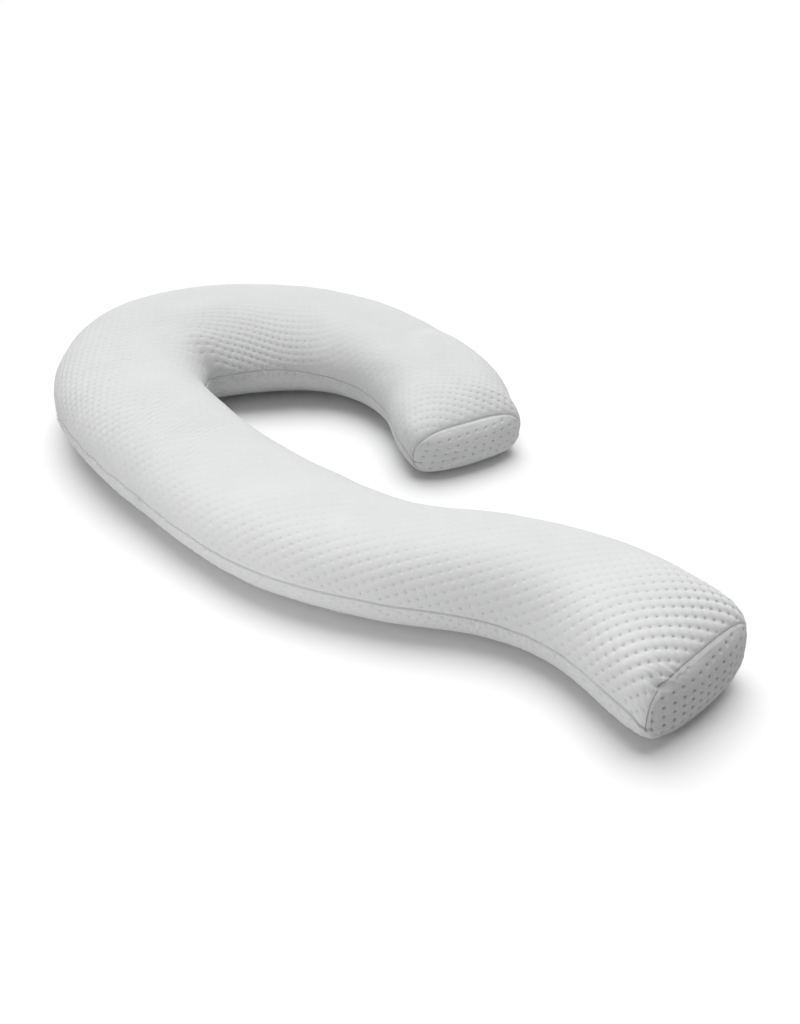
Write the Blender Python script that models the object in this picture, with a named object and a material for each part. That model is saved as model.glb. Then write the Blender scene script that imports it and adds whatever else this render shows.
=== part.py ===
"""Body pillow: one long stuffed form that lies in a hook, from a narrow foot,
up a waisted stem, round a wide bend and back along a short arm.

Metres, +Z up. It lies on z = 0, its longest side along X with the foot at +X,
and the origin is under the middle of its box. The cover is cut as a top and a
bottom panel, sewn together along both sides at about half the height, and an
oval end panel closes each end.
"""

import math

import bmesh
import bpy
import numpy as np
from mathutils import Vector

# The form from the foot to the arm, one row for each station of its
# centreline: plan position x and y, width across, crown height, and the
# height of the side seam as a part of the crown height.
STATIONS = (
    (0.707, -0.043, 0.248, 0.131, 0.47),   # foot end seam
    (0.662, -0.042, 0.247, 0.152, 0.45),   # ankle
    (0.538, -0.035, 0.234, 0.160, 0.41),   # calf rest
    (0.385, -0.087, 0.209, 0.156, 0.40),
    (0.249, -0.182, 0.211, 0.152, 0.46),   # knee waist
    (0.087, -0.243, 0.255, 0.152, 0.47),
    (-0.095, -0.272, 0.256, 0.156, 0.48),
    (-0.303, -0.274, 0.262, 0.175, 0.49),
    (-0.492, -0.229, 0.293, 0.170, 0.48),  # into the bend
    (-0.602, -0.106, 0.327, 0.176, 0.41),  # head rest, the widest part
    (-0.533, 0.075, 0.331, 0.181, 0.44),
    (-0.404, 0.221, 0.307, 0.158, 0.48),   # out of the bend
    (-0.231, 0.260, 0.256, 0.148, 0.44),
    (-0.063, 0.228, 0.250, 0.140, 0.43),
    (0.011, 0.183, 0.236, 0.121, 0.43),
    (0.053, 0.171, 0.248, 0.105, 0.43),    # arm end seam
)

TOP_FULLNESS = (3.0, 1.85)  # powers of the section above the side seams: sideways, upright
LOW_FULLNESS = (2.4, 2.2)   # the same below the side seams
CORNER_FULLNESS = 3.5       # both powers at an end seam, where the section is boxy
CORNER_REACH = 0.110        # length over which the section turns boxy
FLATTENED = 0.04            # part of the height pressed flat on the underside
SEAM_DRAW_IN = 0.004        # how deep the side seam pulls into the filling
SEAM_PULL_ANGLE = 4.0       # the section is drawn in within this many degrees

END_ROUNDING = 0.040        # length over which the form closes on an end seam
END_DRAW_IN = 0.009         # how far the end seam pulls in all round
END_CROWN = 0.024           # how far an end panel bulges past its seam
END_FULLNESS = 2.6          # superellipse power of an end panel's crown
PIECE_GAP = 0.0003          # clearance between the body and an end panel

# Creases that reach from the side seam up and down the cover: centre along
# the form (0 foot, 1 arm), side (+1 outer, -1 inner), spacing, depth.
CREASES = (
    (0.03, 1, 0.050, 0.0025),    # pucker at the foot corner
    (0.42, 1, 0.075, 0.0020),    # outside of the bend, under tension
    (0.52, 1, 0.080, 0.0020),
    (0.60, -1, 0.060, 0.0035),   # gathered inside of the bend
    (0.94, -1, 0.050, 0.0020),   # arm corner
)
CREASE_SPAN = 0.060         # reach of one group of creases along the form
CREASE_RISE = 0.30          # reach up and down, as a part of the crown height

STEPS_ALONG = 116
STEPS_ROUND = 32
END_RINGS = 5

CLOTH_WHITE = (0.80, 0.81, 0.82, 1.0)
CLOTH_ROUGHNESS = 0.85


def clear_scene():
    for obj in list(bpy.data.objects):
        bpy.data.objects.remove(obj)


def spline_bends(knots, values):
    """Second derivatives of the natural cubic spline through the values."""
    steps = np.diff(knots)
    count = len(knots)
    matrix = np.eye(count)
    slopes = np.zeros_like(values)
    for i in range(1, count - 1):
        matrix[i, i - 1] = steps[i - 1]
        matrix[i, i] = 2.0 * (steps[i - 1] + steps[i])
        matrix[i, i + 1] = steps[i]
        rise_after = (values[i + 1] - values[i]) / steps[i]
        rise_before = (values[i] - values[i - 1]) / steps[i - 1]
        slopes[i] = 6.0 * (rise_after - rise_before)
    return np.linalg.solve(matrix, slopes)


class Centreline:
    """The stations joined by a smooth curve, read by distance from the foot."""

    def __init__(self, stations):
        self.values = np.array(stations)
        hops = np.diff(self.values[:, :2], axis=0)
        self.knots = np.concatenate(([0.0], np.cumsum(np.hypot(hops[:, 0], hops[:, 1]))))
        self.bends = spline_bends(self.knots, self.values)
        self.length = float(self.knots[-1])

    def at(self, distance):
        """The station values at a distance, then the plan tangent there."""
        i = int(np.clip(np.searchsorted(self.knots, distance) - 1, 0, len(self.knots) - 2))
        step = self.knots[i + 1] - self.knots[i]
        after = (distance - self.knots[i]) / step
        before = 1.0 - after
        row = before * self.values[i] + after * self.values[i + 1]
        row = row + (before ** 3 - before) * self.bends[i] * step ** 2 / 6.0
        row = row + (after ** 3 - after) * self.bends[i + 1] * step ** 2 / 6.0
        slope = (self.values[i + 1] - self.values[i]) / step
        slope = slope + (1.0 - 3.0 * before ** 2) * self.bends[i] * step / 6.0
        slope = slope + (3.0 * after ** 2 - 1.0) * self.bends[i + 1] * step / 6.0
        tangent = Vector((slope[0], slope[1], 0.0)).normalized()
        return row, tangent


def section_angles():
    """Angles round a section: even steps, with one more each side of a seam."""
    even = [360.0 * i / STEPS_ROUND for i in range(STEPS_ROUND)]
    close = [SEAM_PULL_ANGLE, 180.0 - SEAM_PULL_ANGLE, 180.0 + SEAM_PULL_ANGLE, 360.0 - SEAM_PULL_ANGLE]
    return [math.radians(angle) for angle in sorted(even + close)]


def superellipse(angle, sideways, upright):
    """Point on a unit superellipse of two powers, the outer side seam at angle 0."""
    across = math.copysign(abs(math.cos(angle)) ** (2.0 / sideways), math.cos(angle))
    upward = math.copysign(abs(math.sin(angle)) ** (2.0 / upright), math.sin(angle))
    return across, upward


def section_fullness(distance, length, upper):
    """Superellipse powers of the section, which turns boxy at both ends."""
    closeness = max(0.0, 1.0 - min(distance, length - distance) / CORNER_REACH) ** 1.5
    powers = TOP_FULLNESS if upper else LOW_FULLNESS
    return tuple(power + (CORNER_FULLNESS - power) * closeness for power in powers)


def end_inset(distance, length):
    """How far the section pulls in as it closes on the nearer end seam."""
    from_end = min(distance, length - distance)
    if from_end >= END_ROUNDING:
        return 0.0
    closing = 1.0 - from_end / END_ROUNDING
    return END_DRAW_IN * (1.0 - math.sqrt(max(0.0, 1.0 - closing ** 2)))


def crease_depth(share, side, rise, length):
    """Depth of the creases beside a seam, share along and rise above the seam."""
    depth = 0.0
    for centre, crease_side, spacing, deepest in CREASES:
        if crease_side != side:
            continue
        along = (share - centre) * length
        reach = math.exp(-(along / CREASE_SPAN) ** 2 - (rise / CREASE_RISE) ** 2)
        depth += deepest * reach * (0.5 + 0.5 * math.cos(2.0 * math.pi * along / spacing))
    return depth


def cover_point(line, distance, angle):
    """A point of the pillow's surface, by distance along and angle round."""
    (x, y, width, crown, seam_share), tangent = line.at(distance)
    outward = Vector((-tangent.y, tangent.x, 0.0))
    powers = section_fullness(distance, line.length, math.sin(angle) >= 0.0)
    across, upward = superellipse(angle, *powers)
    inset = end_inset(distance, line.length)
    seam = seam_share * crown
    half = 0.5 * width - inset
    if upward >= 0.0:
        z = seam + (crown - inset - seam) * upward
    else:
        z = seam + (seam + FLATTENED * crown - inset) * upward
    if abs(upward) < 1e-9:
        half -= SEAM_DRAW_IN
    side = 1 if across > 0.0 else -1
    rise = (z - seam) / crown
    half -= crease_depth(distance / line.length, side, rise, line.length)
    return Vector((x, y, 0.0)) + outward * (across * half) + Vector((0.0, 0.0, max(z, 0.0)))


def finish_object(name, mesh_source, material):
    bmesh.ops.recalc_face_normals(mesh_source, faces=mesh_source.faces)
    mesh = bpy.data.meshes.new(name)
    mesh_source.to_mesh(mesh)
    mesh_source.free()
    mesh.shade_smooth()
    mesh.materials.append(material)
    obj = bpy.data.objects.new(name, mesh)
    bpy.context.scene.collection.objects.link(obj)
    return obj


def cloth_material(name):
    material = bpy.data.materials.new(name)
    material.use_nodes = True
    shader = material.node_tree.nodes["Principled BSDF"]
    shader.inputs["Base Color"].default_value = CLOTH_WHITE
    shader.inputs["Roughness"].default_value = CLOTH_ROUGHNESS
    shader.inputs["Metallic"].default_value = 0.0
    return material


def unit_grid(columns, rows):
    """A grid whose points hold their own column and row numbers in x and y."""
    grid = bmesh.new()
    bmesh.ops.create_grid(grid, x_segments=columns, y_segments=rows, size=0.5)
    for vertex in grid.verts:
        vertex.co.x = round((vertex.co.x + 0.5) * columns)
        vertex.co.y = round((vertex.co.y + 0.5) * rows)
    return grid


def make_body(line):
    """The filled body between its two end seams, its flat ends closed."""
    angles = section_angles()
    body = unit_grid(STEPS_ALONG, len(angles))
    for vertex in body.verts:
        distance = line.length * vertex.co.x / STEPS_ALONG
        angle = angles[int(vertex.co.y) % len(angles)]
        vertex.co = cover_point(line, distance, angle)
    bmesh.ops.remove_doubles(body, verts=body.verts, dist=1e-5)
    bmesh.ops.holes_fill(body, edges=body.edges, sides=len(angles))
    return finish_object("pillow_body", body, cloth_material("body_cloth"))


def make_end_panel(name, line, distance, material_name):
    """An end panel: the seam's outline with a flat back and a crowned face."""
    angles = section_angles()
    row, tangent = line.at(distance)
    outward = tangent if distance > 0.0 else -tangent
    middle = Vector((row[0], row[1], 0.5 * row[3]))
    panel = unit_grid(END_RINGS, len(angles))
    for vertex in panel.verts:
        climb = 0.5 * math.pi * vertex.co.x / END_RINGS
        angle = angles[int(vertex.co.y) % len(angles)]
        shrink, bulge = superellipse(climb, END_FULLNESS, END_FULLNESS)
        if vertex.co.x == END_RINGS:
            shrink = 0.0
        rim = cover_point(line, distance, angle)
        step_out = PIECE_GAP + END_CROWN * bulge
        vertex.co = middle + (rim - middle) * shrink + outward * step_out
    bmesh.ops.remove_doubles(panel, verts=panel.verts, dist=1e-5)
    bmesh.ops.holes_fill(panel, edges=panel.edges, sides=len(angles))
    return finish_object(name, panel, cloth_material(material_name))


def centre_over_origin(objects):
    """Move every mesh so that the whole box is centred over the origin."""
    points = [vertex.co for obj in objects for vertex in obj.data.vertices]
    middle_x = 0.5 * (min(p.x for p in points) + max(p.x for p in points))
    middle_y = 0.5 * (min(p.y for p in points) + max(p.y for p in points))
    for point in points:
        point.x -= middle_x
        point.y -= middle_y


def main():
    clear_scene()
    line = Centreline(STATIONS)
    body = make_body(line)
    foot = make_end_panel("foot_end_panel", line, 0.0, "foot_panel_cloth")
    arm = make_end_panel("arm_end_panel", line, line.length, "arm_panel_cloth")
    centre_over_origin((body, foot, arm))


main()
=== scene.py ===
# %% [markdown]
# # A dimpled body pillow
# This lesson dresses a plain solid pillow in its real cover: a white knit with thousands of
# small dimples, cut as a top and a bottom panel, sewn together along the sides and closed at
# each end with an upright oval panel. The solid frame is loaded first and never moved, so
# every piece below is worked out in the same metres as the frame.

# %% Load the frame
import math

import bmesh
import bpy
import numpy as np
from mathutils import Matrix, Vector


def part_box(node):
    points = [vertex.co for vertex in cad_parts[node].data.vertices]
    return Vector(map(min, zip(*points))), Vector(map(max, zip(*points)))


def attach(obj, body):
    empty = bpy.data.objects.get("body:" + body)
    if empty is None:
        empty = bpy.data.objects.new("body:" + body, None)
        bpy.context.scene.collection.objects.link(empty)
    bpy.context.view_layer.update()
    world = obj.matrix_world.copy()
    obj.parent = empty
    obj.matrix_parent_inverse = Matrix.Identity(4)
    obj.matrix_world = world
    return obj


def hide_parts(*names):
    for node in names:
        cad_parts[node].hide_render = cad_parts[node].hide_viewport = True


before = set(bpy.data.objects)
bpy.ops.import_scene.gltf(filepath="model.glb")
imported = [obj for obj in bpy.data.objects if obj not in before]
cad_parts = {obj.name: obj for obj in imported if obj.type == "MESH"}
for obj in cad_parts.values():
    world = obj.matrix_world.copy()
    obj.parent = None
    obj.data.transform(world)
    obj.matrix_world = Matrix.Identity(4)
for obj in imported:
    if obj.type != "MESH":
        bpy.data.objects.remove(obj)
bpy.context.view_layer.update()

# %% [markdown]
# ## The run of the pillow
# A long stuffed tube is easiest to think of as a centreline on the bed, with a width and a
# crown height at each station. Few stations are enough: one wherever the tube turns, swells
# or narrows.

# %% Stations
STATIONS = np.array((
    # x, y, width, crown height, height of the side seam as a part of the crown
    (0.707, -0.043, 0.248, 0.131, 0.47),   # foot end seam
    (0.662, -0.042, 0.247, 0.152, 0.45),   # ankle
    (0.538, -0.035, 0.234, 0.160, 0.41),   # calf rest
    (0.385, -0.087, 0.209, 0.156, 0.40),
    (0.249, -0.182, 0.211, 0.152, 0.46),   # knee waist
    (0.087, -0.243, 0.255, 0.152, 0.47),
    (-0.095, -0.272, 0.256, 0.156, 0.48),
    (-0.303, -0.274, 0.262, 0.175, 0.49),
    (-0.492, -0.229, 0.293, 0.170, 0.48),  # into the bend
    (-0.602, -0.106, 0.327, 0.176, 0.41),  # head rest, the widest part
    (-0.533, 0.075, 0.331, 0.181, 0.44),
    (-0.404, 0.221, 0.307, 0.158, 0.48),   # out of the bend
    (-0.231, 0.260, 0.256, 0.148, 0.44),
    (-0.063, 0.228, 0.250, 0.140, 0.43),
    (0.006, 0.186, 0.243, 0.127, 0.43),
    (0.053, 0.171, 0.248, 0.105, 0.43),    # arm end seam
))
print(len(STATIONS), "stations, width from", STATIONS[:, 2].min(), "to", STATIONS[:, 2].max())

# %% [markdown]
# ## A run without kinks
# The stations are joined by a natural cubic spline, because it has no kinks in its curvature,
# and cloth over loose filling has none either. The same spline carries the widths and heights.

# %% Spline through the stations
def spline_bends(knots, values):
    """Second derivatives of the natural cubic spline through the values."""
    steps = np.diff(knots)
    matrix = np.eye(len(knots))
    slopes = np.zeros_like(values)
    for i in range(1, len(knots) - 1):
        matrix[i, i - 1] = steps[i - 1]
        matrix[i, i] = 2.0 * (steps[i - 1] + steps[i])
        matrix[i, i + 1] = steps[i]
        rise_after = (values[i + 1] - values[i]) / steps[i]
        rise_before = (values[i] - values[i - 1]) / steps[i - 1]
        slopes[i] = 6.0 * (rise_after - rise_before)
    return np.linalg.solve(matrix, slopes)


HOPS = np.diff(STATIONS[:, :2], axis=0)
KNOTS = np.concatenate(([0.0], np.cumsum(np.hypot(HOPS[:, 0], HOPS[:, 1]))))
BENDS = spline_bends(KNOTS, STATIONS)
LENGTH = float(KNOTS[-1])


def read_run(distance):
    """Station values, their slopes and their second derivatives at each distance."""
    i = np.clip(np.searchsorted(KNOTS, distance) - 1, 0, len(KNOTS) - 2)
    step = (KNOTS[i + 1] - KNOTS[i])[:, None]
    after = (distance - KNOTS[i])[:, None] / step
    before = 1.0 - after
    row = before * STATIONS[i] + after * STATIONS[i + 1]
    row = row + (before ** 3 - before) * BENDS[i] * step ** 2 / 6.0
    row = row + (after ** 3 - after) * BENDS[i + 1] * step ** 2 / 6.0
    slope = (STATIONS[i + 1] - STATIONS[i]) / step
    slope = slope + (1.0 - 3.0 * before ** 2) * BENDS[i] * step / 6.0
    slope = slope + (3.0 * after ** 2 - 1.0) * BENDS[i + 1] * step / 6.0
    bend = before * BENDS[i] + after * BENDS[i + 1]
    return row, slope, bend


print("length along the centreline:", round(LENGTH, 3))

# %% [markdown]
# ## Rows round the pillow
# The cover is one fine grid wrapped round the tube. Its rows lie close together beside the
# side seams, where the cloth turns sharply, and further apart under the pillow, where nobody
# looks. Cut across, the pillow is a superellipse, which bunches its points up, so the rows are
# spaced by arc length instead.

# %% Rows round a section
TOP_FULLNESS = (3.0, 1.85)  # powers of the section above the side seams: sideways, upright
LOW_FULLNESS = (2.4, 2.2)   # the same below the side seams
TYPICAL_HALF = 0.125        # a middling section, for the row spacing
TYPICAL_RISE = 0.090
QUARTER_TURN = 0.5 * math.pi

FINE_STEPS = (0.0, 0.0007, 0.0014, 0.0022, 0.0032, 0.0044, 0.0060, 0.0080)  # beside a seam
TOP_SPACING = 0.0020
SIDE_SPACING = 0.0021
UNDER_SPACING = 0.0080
SIDE_REACH = 0.095          # the lower panel is fine this far below the seam


def quarter_arc(powers):
    """Angle against arc length from a side seam to the crown, on a middling section."""
    angle = np.linspace(0.0, QUARTER_TURN, 4000)
    across = TYPICAL_HALF * np.cos(angle) ** (2.0 / powers[0])
    up = TYPICAL_RISE * np.sin(angle) ** (2.0 / powers[1])
    arc = np.concatenate(([0.0], np.cumsum(np.hypot(np.diff(across), np.diff(up)))))
    return angle, arc


def rows_from_seam(powers, spacing, beyond=None):
    """Arc distances from a seam to the crown: close at first, then even."""
    angle, arc = quarter_arc(powers)
    rows = list(FINE_STEPS)
    fine_end = arc[-1] if beyond is None else SIDE_REACH
    count = max(2, round((fine_end - rows[-1]) / spacing))
    rows += list(np.linspace(rows[-1], fine_end, count + 1)[1:])
    if beyond is not None:
        count = max(2, round((arc[-1] - fine_end) / beyond))
        rows += list(np.linspace(fine_end, arc[-1], count + 1)[1:])
    return np.interp(rows, arc, angle)


TOP_QUARTER = rows_from_seam(TOP_FULLNESS, TOP_SPACING)
LOW_QUARTER = rows_from_seam(LOW_FULLNESS, SIDE_SPACING, UNDER_SPACING)
ROUND = np.concatenate((
    TOP_QUARTER,
    math.pi - TOP_QUARTER[-2::-1],
    math.pi + LOW_QUARTER[1:],
    2.0 * math.pi - LOW_QUARTER[-2::-1],
))
INNER_SEAM = 2 * (len(TOP_QUARTER) - 1)
CROWN_ROW = len(TOP_QUARTER) - 1
UNDER_ROW = INNER_SEAM + len(LOW_QUARTER) - 1
print("rows round a section:", len(ROUND))

# %% [markdown]
# ## Steps along the pillow
# Along the run the grid is even, with the same fine steps beside the two end seams.

# %% Steps along the run
ALONG_SPACING = 0.0020


def steps_along():
    """Distances along the run, close together beside the end seams."""
    start = list(FINE_STEPS)
    count = round((LENGTH - 2.0 * start[-1]) / ALONG_SPACING)
    middle = np.linspace(start[-1], LENGTH - start[-1], count + 1)[1:-1]
    return np.concatenate((start, middle, LENGTH - np.array(start[::-1])))


ALONG = steps_along()
print("cover grid:", len(ALONG), "by", len(ROUND))

# %% [markdown]
# ## Soft spots and averages
# Hardly anything on a pillow starts or stops sharply. Most of what follows is a bell that
# fades out round one place, or an average over a length of the pillow.

# %% Helpers along the run
def bell(values, width):
    """One at zero, fading to nothing at about twice the width."""
    return np.exp(-(values / width) ** 2)


def eased(share):
    """A share from 0 to 1 that starts and stops gently."""
    return share * share * (3.0 - 2.0 * share)


def signed_power(values, power):
    return np.sign(values) * np.abs(values) ** power


def to_nearer_end(distance):
    return np.minimum(distance, LENGTH - distance)


def averaged(values, length):
    """Running average along the pillow over about the given length."""
    spread = np.abs(ALONG[:, None] - ALONG[None, :]) / length
    weight = np.exp(-spread ** 2) * np.gradient(ALONG)[None, :]
    weight /= weight.sum(axis=1)[:, None]
    return np.tensordot(weight, values, axes=1)


print("a bell at 0, 1 and 2 widths:", bell(np.arange(3.0), 1.0).round(2))

# %% [markdown]
# ## How full each section is
# The middle of the pillow is round, and both ends are boxy, because an upright panel holds
# them open. On the inside of the bend the cloth above the side seam is pulled to a slope.

# %% Powers of the sections
CORNER_FULLNESS = 3.5       # both powers at an end seam, where the section is boxy
CORNER_REACH = 0.110        # length over which the section turns boxy
CORNER_ONSET = 1.5
LOWER_BOXINESS = 0.25       # the lower half turns boxy only by this part
INNER_BLEND = 0.2           # how sharply the inner side is told from the outer side
INNER_REACH = 0.10          # part of the length that the inside of the bend takes
INNER_SLOPE_AT = 0.69
INNER_SLOPE = (0.9, 0.5)    # the powers there are less by these


def section_power(power):
    """A superellipse power along the run, boxy at both ends."""
    closeness = np.clip(1.0 - to_nearer_end(ALONG) / CORNER_REACH, 0.0, 1.0)
    return (power + (CORNER_FULLNESS - power) * closeness ** CORNER_ONSET)[:, None]


def on_inside(centre):
    """One on the inner side round the given part of the length, fading to nothing."""
    inner = 0.5 - 0.5 * np.tanh(np.cos(ROUND)[None, :] / INNER_BLEND)
    return bell(ALONG / LENGTH - centre, INNER_REACH)[:, None] * inner


def section_powers():
    """The two powers of every section: sideways, then upright."""
    upper = np.sin(ROUND)[None, :] >= 0.0
    powers = []
    for top_power, low_power, slope_loss in zip(TOP_FULLNESS, LOW_FULLNESS, INNER_SLOPE):
        top = section_power(top_power) - slope_loss * on_inside(INNER_SLOPE_AT)
        low = low_power + LOWER_BOXINESS * (section_power(low_power) - low_power)
        powers.append(np.where(upper, top, low))
    return powers


SIDEWAYS_POWER, UPRIGHT_POWER = section_powers()
print("sideways power from", SIDEWAYS_POWER.min().round(2), "to", SIDEWAYS_POWER.max().round(2))

# %% [markdown]
# ## The tight inside of the bend
# The pillow is wider than the bend is round, so a plain sweep would run through itself on the
# inside. There each row is averaged along the pillow until it spreads into a rounded crease.

# %% Fillet of the bend
FILLET_LENGTH = 0.110       # length over which the inside of a tight bend is rounded
FILLET_FROM = 0.50          # how tight a bend has to be for it, half width over radius
FILLET_OVER = 0.30
FILLET_GAIN = 2.5
FILLET_PASSES = 2


def bend_of_run():
    """Curvature of the centreline, positive where it curls towards the outer side."""
    _, slope, bend = read_run(ALONG)
    speed = np.hypot(slope[:, 0], slope[:, 1])
    return (slope[:, 0] * bend[:, 1] - slope[:, 1] * bend[:, 0]) / speed ** 3


def filled_inside(form, across, half):
    """The inside of a tight bend spreads into a fillet and does not fold through itself."""
    tight = np.maximum(-bend_of_run()[:, None] * half, 0.0) * np.maximum(-across, 0.0)
    share = averaged(np.clip((tight - FILLET_FROM) / FILLET_OVER, 0.0, 1.0), FILLET_LENGTH)
    share = np.clip(FILLET_GAIN * share, 0.0, 1.0)[..., None]
    for _ in range(FILLET_PASSES):
        form = form + share * (averaged(form, FILLET_LENGTH) - form)
    return form


print("tightest radius of the run:", round(1.0 / np.abs(bend_of_run()).max(), 3))

# %% [markdown]
# ## The filled form
# This is the smooth pillow before its cloth is dressed: the section swept along the run,
# pulled in towards each end seam, and pressed flat where it lies. Under the side seams the
# corners turn round into the ends, and the foot spreads a little on the bed.

# %% Smooth form
FLATTENED = 0.04            # part of the height pressed flat underneath
SEAM_TIP = 0.11             # a side seam drops by this part of the crown
SEAM_TIP_REACH = 0.016      # just where it runs into an end panel
INNER_RISE = 0.06           # round the inside of the bend the side seam climbs by this part
INNER_RISE_AT = 0.72        # centred at this part of the length
END_ROUNDING = 0.040
END_DRAW_IN = 0.009
TUCK_REACH = 0.042          # below the side seams each corner turns round into the end
TUCK_IN_FOOT = 0.015
TUCK_IN_ARM = 0.008
TUCK_BELOW = 0.45           # full tuck from this part of the way down
SPLAY = 0.008               # the foot end spreads this much further at the bed
SPLAY_REACH = 0.060
SPLAY_BELOW = 0.090


def rounded_off(reach):
    """Zero along the pillow, and curving up to one at both ends like a quarter circle."""
    closing = np.clip(1.0 - to_nearer_end(ALONG) / reach, 0.0, 1.0)
    return 1.0 - np.sqrt(1.0 - closing ** 2)


def half_widths(width, inset, up):
    """Half the width of each section, tucked in at the ends below the side seams."""
    tuck_in = np.where(ALONG < 0.5 * LENGTH, TUCK_IN_FOOT, TUCK_IN_ARM)
    tuck = (tuck_in * rounded_off(TUCK_REACH))[:, None]
    return 0.5 * width - inset - tuck * eased(np.clip(-up / TUCK_BELOW, 0.0, 1.0))


def heights(crown, seam_share, inset, up):
    """Height of each point over the bed, above and below the side seams."""
    tip = SEAM_TIP * bell(to_nearer_end(ALONG), SEAM_TIP_REACH)[:, None]
    seam = (seam_share - tip + INNER_RISE * on_inside(INNER_RISE_AT)) * crown
    above = seam + (crown - inset - seam) * up
    below = seam + (seam + FLATTENED * crown - inset) * up
    return np.where(up >= 0.0, above, below)


def smooth_form():
    """Points of the smooth pillow, the way outwards and how far out each point is."""
    row, slope, _ = read_run(ALONG)
    tangent = slope[:, :2] / np.hypot(slope[:, 0], slope[:, 1])[:, None]
    outward = np.stack((-tangent[:, 1], tangent[:, 0]), axis=1)
    across = signed_power(np.cos(ROUND)[None, :], 2.0 / SIDEWAYS_POWER)
    up = signed_power(np.sin(ROUND)[None, :], 2.0 / UPRIGHT_POWER)
    inset = (END_DRAW_IN * rounded_off(END_ROUNDING))[:, None]
    half = half_widths(row[:, 2:3], inset, up)
    form = np.zeros(across.shape + (3,))
    form[..., 0] = row[:, 0:1] + outward[:, 0:1] * across * half
    form[..., 1] = row[:, 1:2] + outward[:, 1:2] * across * half
    form[..., 2] = heights(row[:, 3:4], row[:, 4:5], inset, up)
    form = filled_inside(form, across, half)
    form[..., 2] = np.maximum(form[..., 2], 0.0)
    near_bed = np.clip(1.0 - form[..., 2] / SPLAY_BELOW, 0.0, 1.0)
    splay = SPLAY * bell(ALONG, SPLAY_REACH)[:, None] * near_bed
    form[..., :2] -= tangent[:, None, :] * splay[..., None]
    return form, outward, across * half


def on_the_frame(form):
    """The move that lays the form on its frame solid."""
    low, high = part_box("pillow_body")
    middle = 0.5 * (np.array(low) + np.array(high))[:2]
    return middle - 0.5 * (form[..., :2].min((0, 1)) + form[..., :2].max((0, 1)))


FORM, OUTWARD, OFFSET = smooth_form()
PLACE = on_the_frame(FORM)
FORM[..., :2] += PLACE
print("form laid on the frame with a move of", PLACE.round(4))

# %% [markdown]
# ## Which way is out
# Every dimple, seam and fold is an offset along the normal of this smooth form. The grid
# closes on itself round the pillow, so the difference round a section wraps over its end.

# %% Normals of the form
def grid_normals(points):
    """Outward unit normals of a grid that closes on itself round the pillow."""
    along = np.gradient(points, axis=0)
    ring = points[:, :-1]
    turn = np.roll(ring, -1, axis=1) - np.roll(ring, 1, axis=1)
    turn = np.concatenate((turn, turn[:, :1]), axis=1)
    normal = np.cross(turn, along)
    normal /= np.maximum(np.linalg.norm(normal, axis=2, keepdims=True), 1e-12)
    return normal


NORMAL = grid_normals(FORM)
MIDDLE = FORM[:, :-1].mean(axis=1, keepdims=True)
if np.mean(np.sum((FORM - MIDDLE) * NORMAL, axis=2)) < 0.0:
    NORMAL = -NORMAL
print("crown normal at the middle:", NORMAL[len(ALONG) // 2, CROWN_ROW].round(2))

# %% [markdown]
# ## Where each thread lies in the flat cloth
# The knit was flat when the panels were cut, so its dimples run in straight rows across the
# whole plan of the pillow and do not follow the bends. Each point is given the place in the
# flat panel that it came from: its place in plan, moved sideways by what the slope hides.
# For that, distances are measured along the cloth itself, from the crown and from the seams.

# %% Distances along the cloth
ARC = np.zeros(FORM.shape[:2])
ARC[:, 1:] = np.cumsum(np.linalg.norm(np.diff(FORM, axis=1), axis=2), axis=1)
TOP_OUTER = ARC[:, CROWN_ROW]
TOP_INNER = ARC[:, INNER_SEAM] - ARC[:, CROWN_ROW]
LOW_INNER = ARC[:, UNDER_ROW] - ARC[:, INNER_SEAM]
LOW_OUTER = ARC[:, -1] - ARC[:, UNDER_ROW]


def across_share():
    """+1 at the outer side seam, 0 on the crown or underneath, -1 at the inner seam."""
    share = np.zeros(ARC.shape)
    top = slice(0, INNER_SEAM + 1)
    from_crown = ARC[:, CROWN_ROW][:, None] - ARC[:, top]
    whole = np.where(from_crown > 0.0, TOP_OUTER[:, None], TOP_INNER[:, None])
    share[:, top] = from_crown / whole
    low = slice(INNER_SEAM, ARC.shape[1])
    from_under = ARC[:, low] - ARC[:, UNDER_ROW][:, None]
    whole = np.where(from_under > 0.0, LOW_OUTER[:, None], LOW_INNER[:, None])
    share[:, low] = from_under / whole
    return share


ACROSS = across_share()
SHARE = (ALONG / LENGTH)[:, None] * np.ones_like(ACROSS)

# Distance above (+) or below (-) the nearer side seam, along the cloth.
FROM_OUTER = np.where(np.arange(len(ROUND))[None, :] <= INNER_SEAM, ARC, ARC - ARC[:, -1:])
FROM_INNER = ARC[:, INNER_SEAM][:, None] - ARC
ON_OUTER = np.abs(FROM_OUTER) < np.abs(FROM_INNER)
FROM_SEAM = np.where(ON_OUTER, FROM_OUTER, FROM_INNER)
FROM_END = to_nearer_end(ALONG)[:, None] * np.ones_like(ACROSS)
print("cloth round the widest section:", round(float(ARC[:, -1].max()), 3))

# %% [markdown]
# ## Back to the flat panel
# The way to the side is averaged along the pillow, so that the rows run straight on where the
# tube curls. At two places the filling drags the cloth round, and its rows swirl a little.

# %% Flat pattern coordinates
SLANT_SMOOTHING = 0.120     # length over which the way to the side is averaged
SWIRLS = (
    # share along, share across, turn in degrees, stretch, reach
    (0.715, -0.83, 24.0, 1.12, 0.140),  # inside of the bend
    (0.970, 0.17, 18.0, 1.10, 0.150),   # arm end
)

REACH = np.where(ACROSS > 0.0, TOP_OUTER[:, None], TOP_INNER[:, None])
SIDEWAYS = averaged(OUTWARD, SLANT_SMOOTHING)
SIDEWAYS /= np.linalg.norm(SIDEWAYS, axis=1)[:, None]
SLOPE_LOSS = ACROSS * REACH - OFFSET
PATTERN = FORM[..., :2] - PLACE + SIDEWAYS[:, None, :] * SLOPE_LOSS[..., None]


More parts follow.
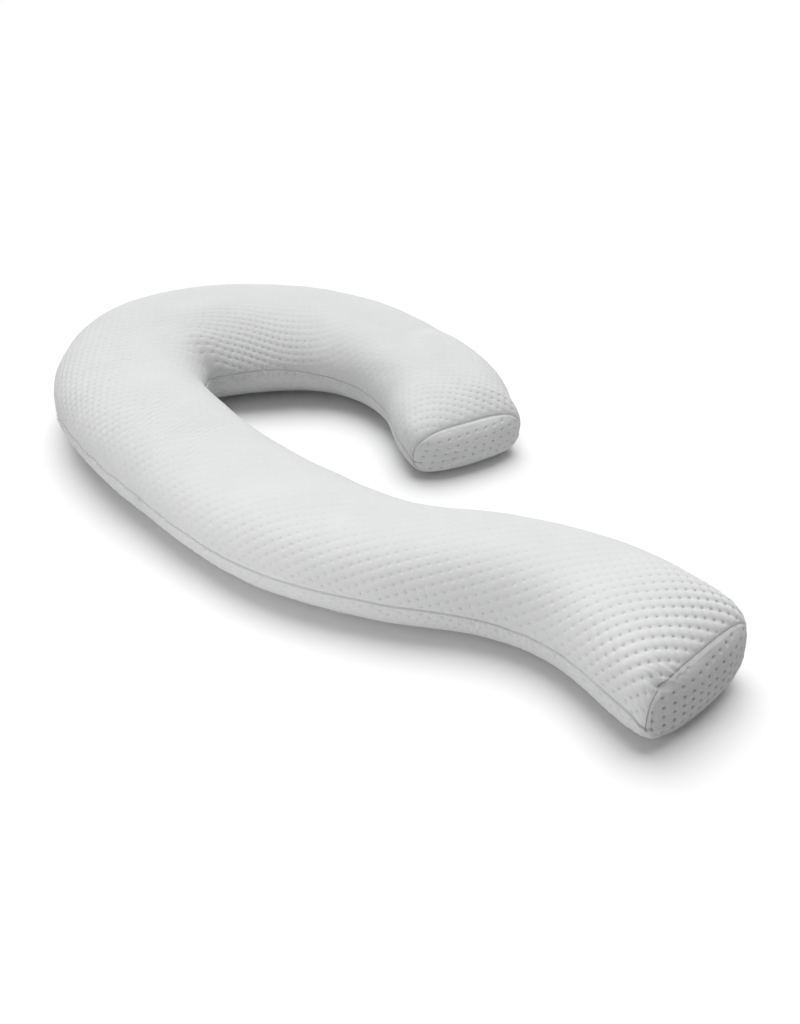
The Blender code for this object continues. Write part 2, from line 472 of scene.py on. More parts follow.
def swirled(pattern, along, across, turn, stretch, reach):
    """The flat cloth turned and stretched a little round one place, where the filling drags it."""
    i = int(np.argmin(np.abs(ALONG - along * LENGTH)))
    j = int(np.argmin(np.abs(ACROSS[i, :INNER_SEAM] - across)))
    centre = pattern[i, j]
    arm = pattern - centre
    near = bell(np.linalg.norm(arm, axis=2), reach)
    angle = math.radians(turn) * near
    size = 1.0 + (stretch - 1.0) * near
    turned = np.stack((
        np.cos(angle) * arm[..., 0] - np.sin(angle) * arm[..., 1],
        np.sin(angle) * arm[..., 0] + np.cos(angle) * arm[..., 1]), axis=2)
    return centre + turned * size[..., None]


for swirl in SWIRLS:
    PATTERN = swirled(PATTERN, *swirl)
print("flat cloth from", PATTERN.min((0, 1)).round(3), "to", PATTERN.max((0, 1)).round(3))

# %% [markdown]
# ## Unevenness
# Loose fibre is lumpy and a sewn edge is never straight. Smooth value noise from a seeded
# generator gives both, and gives the same pillow on every run.

# %% Seeded smooth noise
NOISE_CELLS = 256
NOISE_START = 40.0          # cells, so that the pillow lies well inside the table


def noise(x, y, scale, seed):
    """Smooth noise from about -1 to 1, with features of the given size."""
    table = np.random.default_rng(seed).uniform(-1.0, 1.0, (NOISE_CELLS, NOISE_CELLS))
    u = x / scale + NOISE_START
    v = y / scale + NOISE_START
    i = np.floor(u).astype(int)
    j = np.floor(v).astype(int)
    fu = eased(u - i)
    fv = eased(v - j)
    i0, i1 = i % NOISE_CELLS, (i + 1) % NOISE_CELLS
    j0, j1 = j % NOISE_CELLS, (j + 1) % NOISE_CELLS
    low = table[i0, j0] * (1.0 - fu) + table[i1, j0] * fu
    high = table[i0, j1] * (1.0 - fu) + table[i1, j1] * fu
    return low * (1.0 - fv) + high * fv


def on_cloth(scale, seed):
    """Noise that lies on the flat cloth."""
    return noise(PATTERN[..., 0], PATTERN[..., 1], scale, seed)


print("noise at four places:", noise(np.arange(4) * 0.03, np.zeros(4), 0.050, 1).round(2))

# %% [markdown]
# ## Slack and tight cloth
# A dimple only shows where the cloth is slack. Over the crown the filling pulls the knit
# tight and almost flat; beside the seams, at the ends and inside the bend it is slack, and
# the dimples pull deep. The tables say where, as a maker would point it out: how far along
# the pillow, how far across it, and how far each spot reaches.

# %% Slack field
SLACK_EVERYWHERE = 0.20
SLACK_PATCHES = 0.18        # how much the slack changes from patch to patch
PATCH_SIZE = 0.055
LOWER_SLACK = 0.50          # the lower panel is evenly slack
LOWER_SHARE = 0.30          # and follows the spots only by this part
SEWN_FLAT = 0.85            # how much of the relief is lost right at a seam
SEWN_FLAT_REACH = 0.0040
MOST_SLACK = 1.2
SLACK_SPOTS = (
    # share along, share across, reach along, reach across, slack
    (0.01, -0.55, 0.040, 0.75, 0.85),   # far corner of the foot
    (0.02, 0.30, 0.050, 0.80, 0.40),    # rest of the foot end
    (0.012, 0.75, 0.030, 0.35, 0.45),   # near corner of the foot
    (0.20, 0.95, 0.180, 0.45, 0.60),    # outer side of the stem
    (0.08, -1.00, 0.100, 0.50, 0.45),   # far side of the foot
    (0.70, -0.85, 0.080, 0.50, 0.72),   # inside of the bend
    (0.54, 0.60, 0.080, 0.60, 0.65),    # outside of the bend
    (0.93, 0.95, 0.110, 0.50, 0.45),    # far side of the arm
    (0.99, 0.10, 0.035, 1.20, 0.45),    # arm end
)


def spots(table):
    """Sum of soft spots on the cover, each with its place, reach and amount."""
    total = np.zeros(ACROSS.shape)
    for along, across, reach_along, reach_across, amount in table:
        total += amount * bell(SHARE - along, reach_along) * bell(ACROSS - across, reach_across)
    return total


def slack_field():
    slack = SLACK_EVERYWHERE + spots(SLACK_SPOTS)
    slack *= 1.0 + SLACK_PATCHES * on_cloth(PATCH_SIZE, seed=11)
    slack = np.where(FROM_SEAM < 0.0, LOWER_SLACK + LOWER_SHARE * slack, slack)
    slack *= 1.0 - SEWN_FLAT * bell(FROM_SEAM, SEWN_FLAT_REACH)
    slack *= 1.0 - SEWN_FLAT * bell(FROM_END, SEWN_FLAT_REACH)
    return np.clip(slack, 0.0, MOST_SLACK)


SLACK = slack_field()
print("share of the grid that is slack:", round(float(np.mean(SLACK > 0.5)), 2))

# %% [markdown]
# ## Dimples
# The knit has a dimple at every point of a slanted lattice about 15 mm apart. Each one is a
# small pit. Between two rows of pits the cloth puffs up, and a faint valley joins the pits
# of one row, so slack cloth looks like soft rows of little cushions.

# %% Dimple lattice
class Lattice:
    """Dimples at start + i * first + j * second in a flat piece of cloth, in metres."""

    def __init__(self, first, second, start=(0.0, 0.0)):
        self.steps = np.array((first, second)).T
        self.start = np.array(start)
        self.pitch = np.hypot(self.steps[0], self.steps[1])

    def inside(self, flat):
        """Place in the cell round the nearest dimple, from -0.5 to 0.5 both ways."""
        cell = (flat - self.start) @ np.linalg.inv(self.steps).T
        return cell - np.round(cell)

    def height(self, flat, slack, rows):
        """Relief of slack cloth, with its rows as strong as asked."""
        cell = self.inside(flat)
        along_row = cell[..., 0] * self.pitch[0]
        off_row = cell[..., 1] * self.pitch[1]
        pit = np.exp(-(along_row / PIT_ALONG) ** 2 - (off_row / PIT_ACROSS) ** 2)
        valley = bell(off_row, VALLEY_WIDTH)
        ridge = 0.5 - 0.5 * np.cos(2.0 * math.pi * cell[..., 1])
        hump = ridge * (0.5 - 0.5 * np.cos(2.0 * math.pi * cell[..., 0]))
        puffed = rows * (ROW_PUFF * (ridge - 0.5) + HUMP_PUFF * (hump - 0.25))
        return slack * (puffed - PIT_DEPTH * pit - VALLEY_DEPTH * rows * valley)


def slanted(length, degrees):
    angle = math.radians(degrees)
    return (length * math.cos(angle), length * math.sin(angle))


PIT_DEPTH = 0.0024
PIT_ALONG = 0.0027
PIT_ACROSS = 0.0022
VALLEY_DEPTH = 0.00015
VALLEY_WIDTH = 0.0022
ROW_PUFF = 0.00012
HUMP_PUFF = 0.0004
BODY_LATTICE = Lattice(slanted(0.0143, 57.5), slanted(0.0150, -35.5))
FOOT_LATTICE = Lattice((0.0165, 0.0020), (-0.0015, 0.0160), start=(0.0100, 0.0600))
ARM_LATTICE = Lattice((0.0195, 0.0010), (0.0042, 0.0133), start=(-0.0108, 0.0808))

ROW_SPOTS = (
    # share along, share across, reach along, reach across, strength
    (0.010, -0.55, 0.035, 0.80, 1.20),  # the far corner of the foot
    (0.015, 0.40, 0.035, 0.50, 0.80),   # the near corner of the foot
    (0.710, -0.80, 0.080, 0.50, 0.80),  # the inside of the bend
    (0.540, 0.60, 0.100, 0.60, 1.20),   # the outside of the bend
)
DIMPLES = BODY_LATTICE.height(PATTERN, SLACK, 1.0 + spots(ROW_SPOTS))


def millimetres(offsets):
    """Lowest and highest of some offsets, for the prints."""
    return [round(1000.0 * float(v), 1) for v in (offsets.min(), offsets.max())]


print("dimples, mm:", millimetres(DIMPLES), "pitch, mm:", (1000.0 * BODY_LATTICE.pitch).round(1))

# %% [markdown]
# ## Ripples across a bend
# Where the tube curls, the cloth is too long for it and gathers into fine ripples that run
# across the pillow. They follow the sections, drift, and fade in and out like brush strokes.

# %% Gathered ripples
RIPPLE_DEPTH = 0.00050
RIPPLE_PITCH = 0.0095
RIPPLE_DRIFT = 0.009        # how far a ripple strays, slowly and then over a short way
RIPPLE_SHAKE = 0.003
RIPPLE_SPOTS = (
    # share along, share across, reach along, reach across, strength
    (0.400, 0.15, 0.030, 0.60, 0.90),
    (0.470, 0.20, 0.045, 0.60, 1.00),
    (0.500, -0.15, 0.050, 0.50, 0.70),
    (0.580, 0.20, 0.060, 0.70, 0.45),
)


def ripples():
    drift = RIPPLE_DRIFT * on_cloth(0.080, seed=21)
    drift += RIPPLE_SHAKE * on_cloth(0.028, seed=22)
    phase = 2.0 * math.pi * (SHARE * LENGTH + drift) / RIPPLE_PITCH
    fade = np.clip(0.45 + 0.95 * noise(SHARE * LENGTH, ACROSS * 0.13, 0.035, seed=23), 0.0, 1.2)
    return RIPPLE_DEPTH * spots(RIPPLE_SPOTS) * fade * np.sin(phase)


RIPPLES = ripples()
print("ripples, mm:", millimetres(RIPPLES))

# %% [markdown]
# ## Side seams
# The two panels are sewn inside out and turned, so from outside a side seam is a fine groove
# with a rounded lip just under it, where the turned edges lie inside. The stitching pulls the
# cloth in on both sides of it.

# %% Side seam profile
SEAM_GROOVE = 0.0016
GROOVE_ABOVE = 0.0024       # how fast the groove rises above the seam
GROOVE_BELOW = 0.0010
SEAM_LIP = 0.0015
LIP_DROP = 0.0028           # the lip's middle is this far under the seam
LIP_WIDTH = 0.0015
LIP_LOST_AT = 0.625         # in the tightest part of the bend the lip is squeezed flat
LIP_LOST_REACH = 0.045
SEAM_PULL = 0.0030
SEAM_PULL_REACH = 0.012


def side_seam():
    groove = -SEAM_GROOVE * np.where(
        FROM_SEAM >= 0.0, np.exp(-FROM_SEAM / GROOVE_ABOVE), bell(FROM_SEAM, GROOVE_BELOW))
    lip = SEAM_LIP * bell(FROM_SEAM + LIP_DROP, LIP_WIDTH)
    lip *= 1.0 - np.where(ON_OUTER, 0.0, bell(SHARE - LIP_LOST_AT, LIP_LOST_REACH))
    pull = -SEAM_PULL * np.exp(-np.abs(FROM_SEAM) / SEAM_PULL_REACH)
    return groove + lip + pull


SIDE_SEAM = side_seam()
print("side seams, mm:", millimetres(SIDE_SEAM))

# %% [markdown]
# ## Puckers and gathers
# Thread draws the cloth up, so short puckers cross the side seams. Round the outside of the
# bend the lower panel is gathered into small upright folds, and the sewn line wanders.

# %% Puckers
PUCKER_ABOVE = 0.15         # everywhere, above and below the seam
PUCKER_UNDER = 0.20
PUCKER_SPOTS = (
    # share along, side, reach, strength above, strength below the seam
    (0.03, 1, 0.040, 0.3, 0.6),
    (0.12, 1, 0.050, 0.1, 0.6),
    (0.36, 1, 0.060, 0.5, 1.4),
    (0.43, 1, 0.060, 0.6, 2.0),
    (0.53, 1, 0.070, 0.6, 1.8),
    (0.66, 1, 0.100, 0.4, 0.8),
    (0.88, -1, 0.050, 0.5, 0.9),
    (0.74, -1, 0.080, 0.5, 0.4),
    (0.97, -1, 0.040, 0.5, 1.0),
)
PUCKER_DEPTH = 0.0017
PUCKER_PITCH = 0.0100
PUCKER_UP = 0.012
PUCKER_DOWN = 0.024
PUCKER_SLANT = 0.15
PUCKER_DRIFT = 0.012
PUCKER_SHAKE = 0.003


def puckers():
    above = np.full(ACROSS.shape, PUCKER_ABOVE)
    below = np.full(ACROSS.shape, PUCKER_UNDER)
    for along, side, reach, up, down in PUCKER_SPOTS:
        here = bell(SHARE - along, reach) * np.where(ON_OUTER, side > 0, side < 0)
        above += up * here
        below += down * here
    run = SHARE * LENGTH + PUCKER_SLANT * FROM_SEAM
    drift = PUCKER_DRIFT * noise(run, np.where(ON_OUTER, 0.0, 1.0), 0.050, seed=31)
    drift += PUCKER_SHAKE * noise(run, FROM_SEAM, 0.016, seed=32)
    wave = np.sin(2.0 * math.pi * (run + drift) / PUCKER_PITCH)
    fade = np.clip(0.55 + 0.8 * noise(run, FROM_SEAM * 0.5, 0.022, seed=33), 0.0, 1.3)
    strength = np.where(
        FROM_SEAM >= 0.0,
        above * np.exp(-FROM_SEAM / PUCKER_UP),
        below * np.exp(FROM_SEAM / PUCKER_DOWN))
    return PUCKER_DEPTH * strength * wave * fade


WANDER = 0.0008
WANDER_IN_BEND = 0.0028
WANDER_AT = 0.49            # share along of the outside of the bend
WANDER_REACH = 0.09
WANDER_SIZE = 0.032
WANDER_FADE = 0.018         # how fast it is lost above and below the seam


def seam_wander():
    """Up and down wandering of the sewn line, most round the outside of the bend."""
    amount = WANDER + WANDER_IN_BEND * bell(SHARE - WANDER_AT, WANDER_REACH)
    wave = noise(SHARE * LENGTH, np.where(ON_OUTER, 0.0, 1.0), WANDER_SIZE, seed=41)
    return amount * wave * np.exp(-np.abs(FROM_SEAM) / WANDER_FADE)


PUCKERS = puckers()
SEAM_WANDER = seam_wander()
print("puckers, mm:", millimetres(PUCKERS), "wander, mm:", millimetres(SEAM_WANDER))

# %% [markdown]
# ## Pinched corners
# Where a side seam runs into an end panel there is always too much cloth. The corner of the
# end seam is pinched in, and short folds run back from it. Each fold is a soft ridge between
# two creases, laid from point to point on the cover, in metres.

# %% Corner folds
PINCHES = (
    # end, side, from the end, above the side seam, reach along, reach up, depth
    (0, 1, 0.000, 0.073, 0.012, 0.008, 0.0058),   # near corner of the foot
    (1, -1, 0.000, 0.004, 0.018, 0.009, 0.0012),  # near corner of the arm
    (1, 1, 0.292, 0.120, 0.018, 0.050, 0.0035),   # a dent in the far side of the arm
)
FOLDS = (
    # end, side, start from end, start above, stop from end, stop above, width, height
    (0, 1, 0.000, 0.086, 0.030, 0.068, 0.0028, 0.0018),
    (0, 1, 0.001, 0.066, 0.022, 0.058, 0.0026, 0.0016),
    (0, 1, 0.002, 0.098, 0.038, 0.082, 0.0028, 0.0012),
    (0, 1, 0.002, 0.110, 0.042, 0.098, 0.0028, 0.0008),
    (1, -1, 0.006, 0.014, 0.050, 0.026, 0.0045, 0.0014),
    (1, -1, 0.008, -0.010, 0.060, -0.006, 0.0048, 0.0022),
)


def from_end(end):
    return SHARE * LENGTH if end == 0 else LENGTH * (1.0 - SHARE)


def from_side(side):
    return FROM_OUTER if side > 0 else FROM_INNER


def pinches():
    total = np.zeros(ACROSS.shape)
    for end, side, x0, y0, reach_x, reach_y, depth in PINCHES:
        total -= depth * bell(from_end(end) - x0, reach_x) * bell(from_side(side) - y0, reach_y)
    return total


def corner_folds():
    total = np.zeros(ACROSS.shape)
    for end, side, x0, y0, x1, y1, width, height in FOLDS:
        x = from_end(end)
        y = from_side(side)
        length = math.hypot(x1 - x0, y1 - y0)
        ux, uy = (x1 - x0) / length, (y1 - y0) / length
        forward = ((x - x0) * ux + (y - y0) * uy) / length
        sideways = np.abs((y - y0) * ux - (x - x0) * uy)
        taper = np.clip(1.0 - forward, 0.0, 1.0) ** 0.7 * np.clip(1.0 + 8.0 * forward, 0.0, 1.0)
        narrowed = width * (0.45 + 0.55 * taper)
        ridge = bell(sideways, narrowed) - 0.6 * bell(sideways - 1.9 * narrowed, 0.7 * narrowed)
        total += height * taper * ridge
    return total


PINCHED = pinches()
FOLDED = corner_folds()
print("pinches, mm:", millimetres(PINCHED), "folds, mm:", millimetres(FOLDED))

# %% [markdown]
# ## Everything on one surface
# All the offsets are added along the normal of the smooth form. The underside is then pressed
# flat again on the bed, so that the pillow rests where its frame rests.

# %% Dress the form
LUMP_HEIGHT = 0.0016
LUMP_SIZE = 0.085
SMALL_LUMPS = 0.4           # the smaller lumps are this much smaller
SMALL_LUMP_SHARE = 0.35
END_PULL = 0.0030
END_PULL_REACH = 0.0040
SEWN_BELOW = 0.012          # the end seam sinks out of sight this far below a side seam
SEWN_LEAST = 0.15
QUIET_REACH = 0.0045

SEWN = SEWN_LEAST + (1.0 - SEWN_LEAST) * bell(np.minimum(FROM_SEAM, 0.0), SEWN_BELOW)


def lumps():
    beside = PATTERN[..., 1] + ACROSS * 0.05
    big = noise(PATTERN[..., 0], beside, LUMP_SIZE, seed=51)
    small = noise(PATTERN[..., 0], beside, SMALL_LUMPS * LUMP_SIZE, seed=52)
    return LUMP_HEIGHT * (big + SMALL_LUMP_SHARE * small)


def dressed_cover():
    quiet = 1.0 - SEWN_FLAT * bell(FROM_SEAM, QUIET_REACH)
    quiet *= 1.0 - SEWN_FLAT * bell(FROM_END, QUIET_REACH)
    offset = DIMPLES + RIPPLES * quiet
    offset += SIDE_SEAM + PUCKERS + PINCHED + FOLDED + lumps()
    offset -= END_PULL * SEWN * np.exp(-FROM_END / END_PULL_REACH)
    points = FORM + NORMAL * offset[..., None]
    points[..., 2] += SEAM_WANDER
    points[:, -1] = points[:, 0]
    resting = FORM[..., 2] <= 0.0
    points[..., 2] = np.where(resting, 0.0, np.maximum(points[..., 2], 0.0))
    return points


COVER = dressed_cover()
print("cover box:", COVER.min((0, 1)).round(3), COVER.max((0, 1)).round(3))

# %% [markdown]
# ## From a grid to a closed skin
# A bmesh grid has its points moved to their places, keeps each point's place in the flat
# cloth as its UV and its slack as an attribute, and is welded where it meets itself.

# %% The cover
WELD = 1e-5


def grid_piece(name, points, flat_places, slack):
    """A Blender grid whose points are moved to the given places, then closed."""
    columns, rows = points.shape[0] - 1, points.shape[1] - 1
    sheet = bmesh.new()
    uv = sheet.loops.layers.uv.new("flat_cloth")
    depth = sheet.verts.layers.float.new("slack")
    bmesh.ops.create_grid(sheet, x_segments=columns, y_segments=rows, size=0.5)
    for vertex in sheet.verts:
        i = round((vertex.co.x + 0.5) * columns)
        j = round((vertex.co.y + 0.5) * rows)
        vertex.co = points[i, j]
        vertex[depth] = slack[i, j]
        for loop in vertex.link_loops:
            loop[uv].uv = flat_places[i, j]
    bmesh.ops.remove_doubles(sheet, verts=sheet.verts, dist=WELD)
    bmesh.ops.holes_fill(sheet, edges=[edge for edge in sheet.edges if edge.is_boundary], sides=0)
    bmesh.ops.recalc_face_normals(sheet, faces=sheet.faces)
    mesh = bpy.data.meshes.new(name)
    sheet.to_mesh(mesh)
    sheet.free()
    mesh.shade_smooth()
    piece = bpy.data.objects.new(name, mesh)
    bpy.context.scene.collection.objects.link(piece)
    print(name, len(mesh.vertices), "points")
    return piece


cover = grid_piece("pillow_cover", COVER, PATTERN, SLACK)

# %% [markdown]
# ## End panels
# Each end is closed with its own upright oval of the same knit. It starts exactly on the rim
# of the cover, stands up as a fine lip over the turned edge, and crowns out over the filling.
# Its dimples lie on a lattice of its own, because the panel was cut the other way round.

# %% End panel shape
PANEL_SPACING = 0.0020
PANEL_LIP = 0.0010
PANEL_LIP_IN = 0.0024       # the lip's middle is this far inside the rim
PANEL_LIP_WIDTH = 0.0016
PANEL_QUIET = 0.9
PANEL_LUMPS = 0.0012
PANEL_LUMP_SIZE = 0.035
PANEL_ROWS = 0.4            # the rows show less than on the cover
RIM_INSET = 0.0010
RIM_FADE = 0.0060           # how fast the unevenness of the rim is lost on the panel
DOME_POWERS = (2.1, 0.625)


def end_panel(name, column, forward, lattice, crown, lean, slack_amount):
    """The dressed end panel that closes one end of the cover."""
    rim = COVER[column]
    even_rim = FORM[column] - NORMAL[column] * (END_PULL * SEWN[column] + RIM_INSET)[:, None]
    middle = even_rim[:-1].mean(axis=0)
    middle[2] = 0.5 * (even_rim[:, 2].min() + even_rim[:, 2].max())
    ahead = np.array((forward[0], forward[1], 0.0))
    sideways = np.array((-forward[1], forward[0], 0.0))
    reach = np.linalg.norm(even_rim - middle, axis=1)
    longest = reach.max()
    rings = list(FINE_STEPS)
    rings += list(np.linspace(rings[-1], longest, round(longest / PANEL_SPACING))[1:])
    inward = (np.array(rings) / longest)[:, None] * np.ones(len(rim))[None]
    depth = inward * reach[None]
    points = middle + (even_rim - middle)[None] * (1.0 - inward)[..., None]
    points += (rim - even_rim)[None] * np.exp(-depth / RIM_FADE)[..., None]
    flat = np.stack(((points - middle) @ sideways, points[..., 2]), axis=2)
    quiet = 1.0 - PANEL_QUIET * bell(depth, SEWN_FLAT_REACH)
    lip = PANEL_LIP * SEWN[column][None] * bell(depth - PANEL_LIP_IN, PANEL_LIP_WIDTH)
    patches = noise(flat[..., 0], flat[..., 1], 0.04, seed=62)
    slack = slack_amount * quiet * (1.0 + 0.15 * patches)
    dome = (1.0 - (1.0 - inward) ** DOME_POWERS[0]) ** DOME_POWERS[1]
    height = (points[..., 2] - middle[2]) / (even_rim[:, 2].max() - middle[2])
    offset = (crown + lean * height) * dome + lip
    offset += lattice.height(flat, slack, PANEL_ROWS)
    offset += PANEL_LUMPS * noise(flat[..., 0], flat[..., 1], PANEL_LUMP_SIZE, seed=61) * quiet
    points = points + ahead * offset[..., None]
    points[0] = rim
    points[-1] = points[-1].mean(axis=0)
    points[:, -1] = points[:, 0]
    return grid_piece(name, points, flat, slack)


def end_direction(column, sign):
    _, slope, _ = read_run(ALONG[column:column + 1])
    return sign * slope[0, :2] / np.hypot(slope[0, 0], slope[0, 1])


LAST = len(ALONG) - 1
FOOT_WAY = end_direction(0, -1.0)
ARM_WAY = end_direction(LAST, 1.0)
foot_panel = end_panel(
    "foot_panel", 0, FOOT_WAY, FOOT_LATTICE, crown=0.0235, lean=0.0045, slack_amount=1.45)
arm_panel = end_panel(
    "arm_panel", LAST, ARM_WAY, ARM_LATTICE, crown=0.0290, lean=-0.0020, slack_amount=1.05)

# %% [markdown]
# ## Shader maths as plain expressions
# A node tree is easier to read as arithmetic, so a small class wraps a socket and turns
# plus, minus and times into Math nodes. One method makes every other kind of node.

# %% Socket wrapper
class Wire:
    """A node socket that can be used in plain arithmetic."""

    def __init__(self, tree, socket):
        self.tree = tree
        self.socket = socket

    def node(self, kind, settings=None, **values):
        """A new node; its sockets go by name, or by number as i0, i1 and so on."""
        made = self.tree.nodes.new(kind)
        for key, value in (settings or {}).items():
            setattr(made, key, value)
        for key, value in values.items():
            name = key.replace("_", " ")
            numbered = name[0] == "i" and name[1:].isdigit()
            target = made.inputs[int(name[1:]) if numbered else name]
            if isinstance(value, Wire):
                self.tree.links.new(value.socket, target)
            else:
                target.default_value = value
        return made

    def math(self, operation, first, second=0.0):
        made = self.node("ShaderNodeMath", {"operation": operation}, i0=first, i1=second)
        return Wire(self.tree, made.outputs[0])

    def __add__(self, other):
        return self.math("ADD", self, other)

    def __sub__(self, other):
        return self.math("SUBTRACT", self, other)

    def __rsub__(self, other):
        return self.math("SUBTRACT", other, self)

    def __mul__(self, other):
        return self.math("MULTIPLY", self, other)

    __radd__ = __add__
    __rmul__ = __mul__


def mixed_tone(start, share, first, second):
    """One colour where the share is 0, the other where it is 1."""
    made = start.node("ShaderNodeMix", {"data_type": "RGBA"}, i0=share, i6=first, i7=second)
    return made.outputs[2]


print("operators of a wire:", [name for name in vars(Wire) if name.endswith(("add__", "sub__", "mul__"))])

# %% [markdown]
# ## White knit
# Polyester knit is matt and slightly cool. Up close its loops make a fine cross-hatch, finer
# than the mesh, so they are a bump on the flat-cloth coordinates, with a faint change of
# tone so that the white is never one flat colour. The sharp middle of each pit is painted
# darker, as painted shade, and the foot panel's copy is painted darker all over, as painted shade.

# %% Knit material
CLOTH_TONE = (0.750, 0.752, 0.753, 1.0)
# The dark end of the colour: used for the random change of tone, and for the painted shade in the pits.
CLOTH_DARK_TONE_AND_PIT_SHADE = (0.665, 0.668, 0.671, 1.0)
# Painted shade: deep in each pit the colour is darkened towards the dark end, more where the cloth is
# slack.
PIT_PAINTED_SHADE = 0.40             # how far the colour goes to the shade deep in a pit
LOOPS_PER_METRE = 900.0
ROWS_PER_METRE = 630.0
KNIT_RELIEF = 0.00012
FUZZ_SCALE = 700.0
CLOUD_SCALE = 14.0
PIT_CORE = 0.0015           # radius of the sharp middle of a pit
PIT_CORE_DEPTH = 0.0009


def pit_core(flat, lattice, start):
    """One in the sharp middle of each pit, falling to nothing round it."""
    split = start.node("ShaderNodeSeparateXYZ", i0=flat)
    u = Wire(start.tree, split.outputs["X"]) - float(lattice.start[0])
    v = Wire(start.tree, split.outputs["Y"]) - float(lattice.start[1])
    to_cell = np.linalg.inv(lattice.steps)
    total = None
    for axis in (0, 1):
        cell = u * float(to_cell[axis, 0]) + v * float(to_cell[axis, 1])
        inside = (cell - cell.math("ROUND", cell)) * float(lattice.pitch[axis] / PIT_CORE)
        square = inside * inside
        total = square if total is None else total + square
    return total.math("EXPONENT", total * -1.0)


def knit_material(name, lattice, painted_shade_factor):
    """The knit with the dimples of one lattice, its colour scaled by the painted-shade factor."""
    material = bpy.data.materials.new(name)
    material.use_nodes = True
    tree = material.node_tree
    shader = tree.nodes["Principled BSDF"]
    start = Wire(tree, None)
    place = start.node("ShaderNodeUVMap", {"uv_map": "flat_cloth"})
    flat = Wire(tree, place.outputs["UV"])
    body = Wire(tree, start.node("ShaderNodeTexCoord").outputs["Object"])
    slack = Wire(tree, start.node("ShaderNodeAttribute", {"attribute_name": "slack"}).outputs["Fac"])
    split = start.node("ShaderNodeSeparateXYZ", i0=flat)
    u = Wire(tree, split.outputs["X"])
    v = Wire(tree, split.outputs["Y"])
    loops_u = start.math("SINE", u * (LOOPS_PER_METRE * 2.0 * math.pi))
    loops_v = start.math("SINE", v * (ROWS_PER_METRE * 2.0 * math.pi))
    fine = start.node("ShaderNodeTexNoise", Vector=body, Scale=FUZZ_SCALE, Detail=3.0)
    fuzz = Wire(tree, fine.outputs["Fac"])
    broad = start.node("ShaderNodeTexNoise", Vector=body, Scale=CLOUD_SCALE, Detail=4.0)
    cloud = Wire(tree, broad.outputs["Fac"])
    core = pit_core(flat, lattice, start) * slack
    knit = (loops_u * loops_v * 0.5 + fuzz * 0.8) * KNIT_RELIEF
    height = knit - core * PIT_CORE_DEPTH
    bump = start.node("ShaderNodeBump", Height=height, Strength=1.0, Distance=1.0)
    tree.links.new(bump.outputs["Normal"], shader.inputs["Normal"])
    # Below one, the factor paints shade over the whole piece; the cloth itself is the same everywhere.
    light = [painted_shade_factor * value for value in CLOTH_TONE[:3]] + [1.0]
    dark_tone_and_shade = [painted_shade_factor * value for value in CLOTH_DARK_TONE_AND_PIT_SHADE[:3]] + [1.0]
    # Cloud and fuzz change the tone at random; the pit core paints shade into the middle of each pit.
    tone = mixed_tone(start, cloud * 0.7 + fuzz * 0.3 + core * PIT_PAINTED_SHADE, light, dark_tone_and_shade)
    tree.links.new(tone, shader.inputs["Base Color"])
    shader.inputs["Roughness"].default_value = 0.9
    shader.inputs["Specular IOR Level"].default_value = 0.25
    shader.inputs["Sheen Weight"].default_value = 0.10
    shader.inputs["Sheen Roughness"].default_value = 0.5
    return material


for piece, node, slot, lattice, painted_shade_factor in (
    (cover, "pillow_body", "body_cloth", BODY_LATTICE, 1.0),
    # Painted shade: the foot panel's copy of the knit is a fifth darker, standing in for the less light
    # it gets.
    (foot_panel, "foot_end_panel", "foot_panel_cloth", FOOT_LATTICE, 0.80),
    (arm_panel, "arm_end_panel", "arm_panel_cloth", ARM_LATTICE, 1.0),
):
    piece.data.materials.append(knit_material(slot, lattice, painted_shade_factor))
    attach(piece, "root")
    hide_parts(node)
    print(piece.name, "stands for", node)

# %% [markdown]
# ## Floor, light and camera
# A plain pale floor, one wide soft light from high up behind the bend, a weak soft box low
# beside the stem, and an even pale surround. The camera sees the floor as white, and the
# cloth sees it a little greyer, so that its shaded walls stay darker than its crown.

# %% Floor
FLOOR_SIZE = 40.0
FLOOR_DROP = 0.0004         # just under the pillow, so that the two never share a face
FLOOR_TONE = (0.95, 0.95, 0.95, 1.0)
FLOOR_GLOW = (0.78, 0.78, 0.78, 1.0)  # what the floor throws back on the cloth


def make_floor():
    slab = bmesh.new()
    bmesh.ops.create_grid(slab, x_segments=1, y_segments=1, size=0.5 * FLOOR_SIZE)
    bmesh.ops.translate(slab, verts=slab.verts, vec=(0.0, 0.0, -FLOOR_DROP))
    mesh = bpy.data.meshes.new("floor")
    slab.to_mesh(mesh)
    slab.free()
    floor = bpy.data.objects.new("floor", mesh)
    bpy.context.scene.collection.objects.link(floor)
    paint = bpy.data.materials.new("floor_white")
    paint.use_nodes = True
    shader = paint.node_tree.nodes["Principled BSDF"]
    shader.inputs["Roughness"].default_value = 0.9
    start = Wire(paint.node_tree, None)
    seen = Wire(paint.node_tree, start.node("ShaderNodeLightPath").outputs["Is Camera Ray"])
    tone = mixed_tone(start, seen, FLOOR_GLOW, FLOOR_TONE)
    paint.node_tree.links.new(tone, shader.inputs["Base Color"])
    mesh.materials.append(paint)


make_floor()
print("floor side in metres:", FLOOR_SIZE)

# %% [markdown]
# ## Soft light
# A distant light sixty degrees wide gives shadows that are dark only where the pillow meets
# the bed, as a big window does. The soft box gives the near side a little light of its own.

# %% Lights
WINDOW = (140.0, 67.0, 60.0, 2.95)  # heading, height and spread in degrees, strength
FILL_PLACE = (0.40, -1.40, 0.45)
FILL_AIM = (0.05, -0.15, 0.08)
FILL_SIZE = 0.8
FILL_POWER = 5.0
SURROUND = 0.21


def soft_sun(name, heading, height, spread, strength):
    """A distant light from a heading and a height in degrees, as soft as its spread."""
    lamp = bpy.data.lights.new(name, "SUN")
    lamp.angle = math.radians(spread)
    lamp.energy = strength
    holder = bpy.data.objects.new(name, lamp)
    holder.rotation_euler = (math.radians(90.0 - height), 0.0, math.radians(heading + 90.0))
    bpy.context.scene.collection.objects.link(holder)


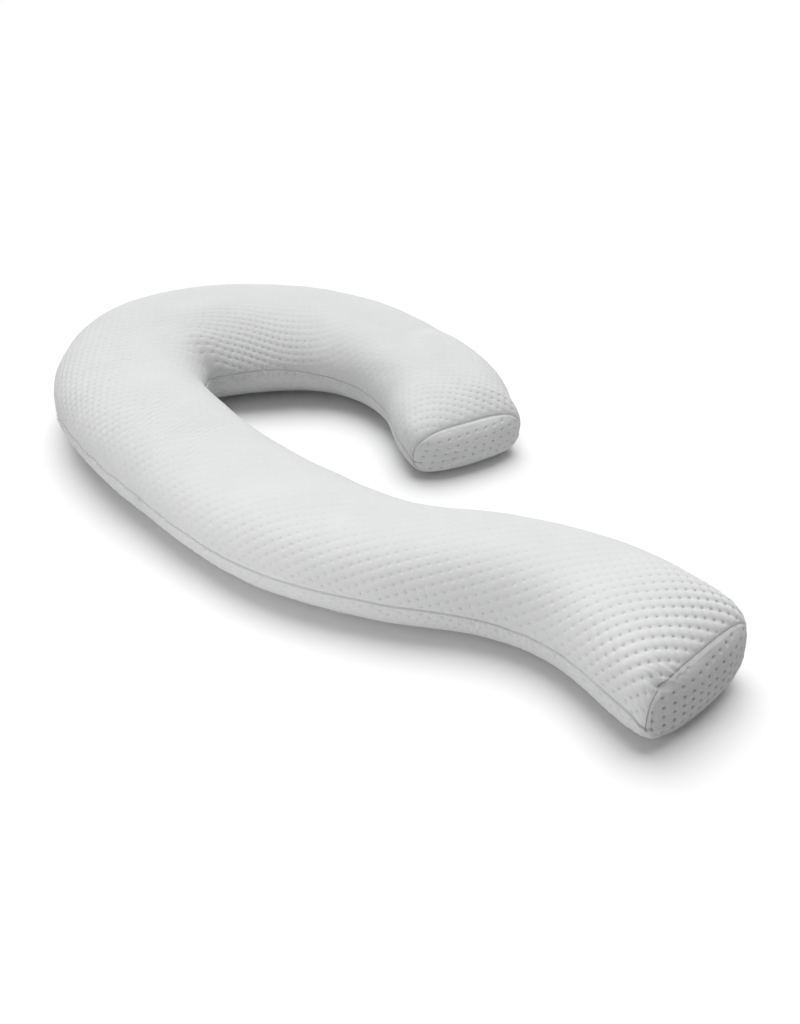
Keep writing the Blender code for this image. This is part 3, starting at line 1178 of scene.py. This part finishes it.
def soft_box(name, place, aim, size, power):
    """A round soft box at a place, turned to face another, all in metres."""
    lamp = bpy.data.lights.new(name, "AREA")
    lamp.shape = "DISK"
    lamp.size = size
    lamp.energy = power
    away = np.subtract(aim, place)
    down = math.atan2(-away[2], math.hypot(away[0], away[1]))
    holder = bpy.data.objects.new(name, lamp)
    holder.location = place
    holder.rotation_euler = (math.pi / 2 - down, 0.0, math.atan2(away[1], away[0]) - math.pi / 2)
    bpy.context.scene.collection.objects.link(holder)


def surround(strength):
    world = bpy.data.worlds.new("studio")
    world.use_nodes = True
    background = world.node_tree.nodes["Background"]
    background.inputs["Color"].default_value = (1.0, 1.0, 1.0, 1.0)
    background.inputs["Strength"].default_value = strength
    bpy.context.scene.world = world


surround(SURROUND)
soft_sun("window", *WINDOW)
soft_box("near fill", FILL_PLACE, FILL_AIM, FILL_SIZE, FILL_POWER)
print("lights:", [item.name for item in bpy.data.lights])

# %% [markdown]
# ## Camera
# The camera stands about a metre off the foot and a metre up, and looks along the stem to the
# bend. Its lens is worked out from a focal length counted in pixels of the frame.

# %% Camera
CAMERA_STAND = (1.157, -0.997)  # in the same plan as the stations
CAMERA_HEIGHT = 1.05
CAMERA_YAW = 48.0           # turn about Z, degrees
CAMERA_PITCH = 35.9         # below the horizon, degrees
FRAME_HEIGHT = 1024
FOCAL_PIXELS = 1000.0
SENSOR_HEIGHT = 36.0

eye = bpy.data.cameras.new("camera")
eye.sensor_fit = "VERTICAL"
eye.sensor_height = SENSOR_HEIGHT
eye.lens = SENSOR_HEIGHT * FOCAL_PIXELS / FRAME_HEIGHT
camera = bpy.data.objects.new("camera", eye)
camera.location = (CAMERA_STAND[0] + PLACE[0], CAMERA_STAND[1] + PLACE[1], CAMERA_HEIGHT)
camera.rotation_euler = (math.radians(90.0 - CAMERA_PITCH), 0.0, math.radians(CAMERA_YAW))
bpy.context.scene.collection.objects.link(camera)
bpy.context.scene.camera = camera
bpy.context.scene.view_settings.view_transform = "Standard"
print("lens in millimetres:", round(eye.lens, 1))

# %% [markdown]
